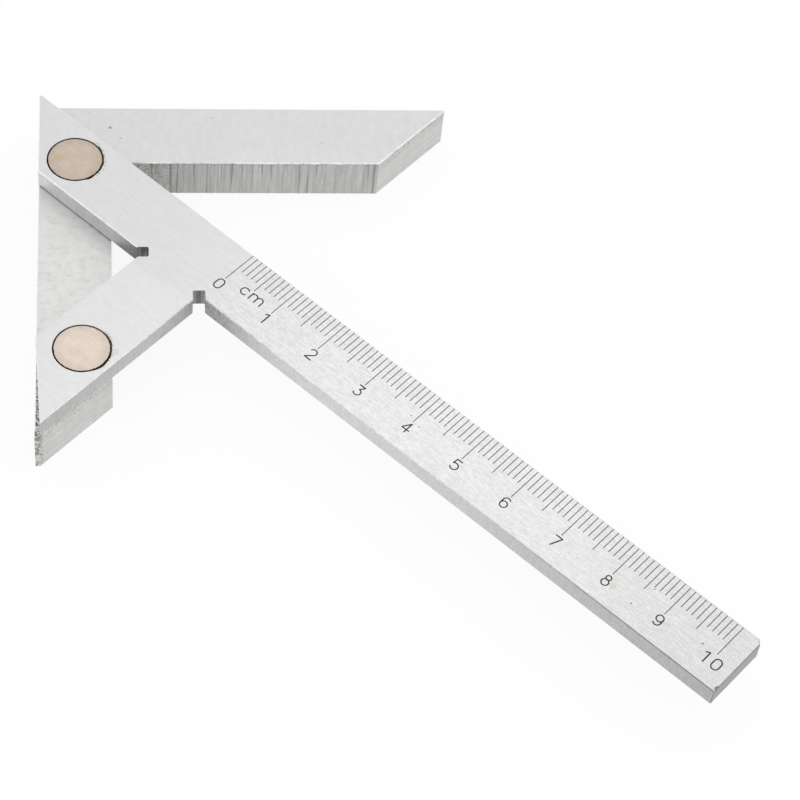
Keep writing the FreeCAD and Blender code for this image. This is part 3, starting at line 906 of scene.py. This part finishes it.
# %% Stock
SHAPED_RIBS, GROUND_RIBS = (0.55, 0.07), (1.5, 0.012)
SHORTEST_RIBBED, STOCK_FOOT_DROP = 5, 0.3


def stock_ribs(wall):
    """The ribs of a wall of the stock: all but the two outer faces were shaped."""
    return SHAPED_RIBS if wall.normal.x > -SLANTING and wall.normal.y < SLANTING else GROUND_RIBS


bm = editable_copy("stock")
break_lower_edges(bm, 0.0, LOWER_BREAK)
rib_walls(bm, stock_ribs, shortest=SHORTEST_RIBBED)
lower_chamfer_foot(bm, STOCK_TOP, STOCK_FOOT_DROP)
bm.normal_update()
TOP, INNER, END, STOCK_EDGE, OUTSIDE = range(5)
TIP_BEGINS, LEG_END_BEGINS, OUTSIDE_WITHIN = -66, -55, 0.3


def stock_finish(face):
    """Which of the stock's finishes a face has."""
    normal, centre = face.normal, face.calc_center_median()
    if abs(normal.z) > FLAT:
        return TOP
    slanting = min(abs(normal.x), abs(normal.y)) > SLANTING or centre.y < TIP_BEGINS * MM
    if slanting and centre.y < LEG_END_BEGINS * MM:
        return END
    if abs(normal.z) > SLANTING and centre.z > STOCK_TOP / 2:
        return STOCK_EDGE
    if slanting:
        return END
    return OUTSIDE if min(abs(centre.x), abs(centre.y)) < OUTSIDE_WITHIN * MM else INNER


for face in bm.faces:
    face.material_index = stock_finish(face)
stock = piece_from(bm, "milled_stock", [ground_stock, shaped_inner, sawn_end, painted_edge_highlight, ground_outside],
                   "stock")
print("stock faces:", len(stock.data.polygons))

# %% [markdown]
# ## Rivets
# The rivets are a warmer, softer steel. They were hammered into their seats and filed flush with
# the plate, so the file's marks run across both. Their rims are brown where dirt has crept over
# from the gap. Their shape is right as it was designed, so they only get a finish.

# %% Rivets
def dress(node, material):
    """Gives a carried-over piece its finish."""
    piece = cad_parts[node]
    piece.data.materials.clear()
    piece.data.materials.append(material)


RIM_TONE, STAIN_TONE = "#6A5D52", "#BFA67C"
SHADE_BEGINS = 2.6
RIM_INSIDE, RIM_OUTSIDE, RIM_WAVES = 0.08, 0.06, 0.5
STAIN_AT, STAIN_RADIUS = on_plate(12.3, 7.6), 0.8


def rivet_wear(axis, seed, stained):
    """The painter of one rivet's cloudy patches, its brown rim and, where it has one, its stain."""
    def paint_wear(tree, place, colour):
        cloud = marks(tree, place, UPRIGHT, (1.6, 1.6, 1.6), seed=seed)
        colour = multiply(tree, colour, spread(tree, cloud, 0.3, 0.7, 0.95, 1.04))
        length = distance_from(tree, place, axis)
        shade = spread(tree, length, SHADE_BEGINS * MM, HEAD_RADIUS * MM, 1.0, 0.90)
        colour = multiply(tree, colour, shade)
        uneven = wavering(tree, place, length, RIM_WAVES, seed)
        rim_from, rim_to = (HEAD_RADIUS - RIM_INSIDE) * MM, (HEAD_RADIUS + RIM_OUTSIDE) * MM
        colour = tint(tree, colour, spread(tree, uneven, rim_from, rim_to, 0.0, 1.0), RIM_TONE)
        if stained:
            stain = product(tree, spot(tree, place, STAIN_AT, STAIN_RADIUS, seed=2.0), 0.5)
            colour = tint(tree, colour, stain, STAIN_TONE)
        return colour
    return paint_wear


# Each rivet is its node, its axis, its tone, a seed, and whether it has the stain.
RIVETS = [
    ("upper_rivet", RIVET_AXES[0], "#C7B9AB", 1.0, True),
    ("lower_rivet", RIVET_AXES[1], "#DED1C4", 4.0, False),
]
for node, axis, tone, seed, stained in RIVETS:
    dress(node, worked_steel(
        "filed_" + node, [(0, tone), (150, tone)],
        [((5, 0.3, 0.3), 0.045), ((2, 2, 2), 0.02)],
        turn=ALONG, roughness=0.45, painted=rivet_wear(axis, seed, stained)))
print("rivets dressed, head radius in mm:", HEAD_RADIUS)

# %% [markdown]
# ## Paint in the engraving
# The engraving was filled with dark enamel and wiped. It is still thick in the numerals and the
# unit, and worn thin and grey in the fine lines. The paint is one piece, so its finish has to tell
# them apart by place: the numerals lie farther in from the graduated edge than any line, and the
# unit has a stretch of its own. Enamel isn't a metal, so its colour is diffuse and its gloss is low.

# %% Paint
NUMERALS_FROM, UNIT_FROM, UNIT_START, UNIT_END = 6.8, 5.38, 51.5, 57.5
BLEND = 0.05


def between(tree, mask, first, second):
    """Two hex tones, mixed by a mask."""
    return add_node(tree, "Mix", {0: mask, 6: linear(first), 7: linear(second)}, data_type="RGBA").outputs[2]


paint, tree = new_material("engraving_enamel")
place = add_node(tree, "TexCoord").outputs["Object"]
numerals = zone(tree, place, ACROSS, NUMERALS_FROM, NUMERALS_FROM + BLEND)
unit = product(tree, zone(tree, place, ACROSS, UNIT_FROM, UNIT_FROM + BLEND),
               product(tree, zone(tree, place, ALONG, UNIT_START, UNIT_START + BLEND),
                       zone(tree, place, ALONG, UNIT_END, UNIT_END - BLEND)))
thick = add_node(tree, "Math", {0: numerals, 1: unit}, operation="MAXIMUM").outputs[0]
patchy = marks(tree, place, UPRIGHT, (0.9, 0.9, 0.9))
worn = between(tree, patchy, "#4E4A46", "#75716D")
full = between(tree, patchy, "#2B2623", "#463F3A")
tone = add_node(tree, "Mix", {0: thick, 6: worn, 7: full}, data_type="RGBA")
enamel = add_node(tree, "BsdfPrincipled", {"Base Color": tone.outputs[2], "Roughness": 0.8})
add_node(tree, "OutputMaterial", {"Surface": enamel.outputs[0]})
dress("graduation_infill", paint)
print("paint nodes:", len(tree.nodes))
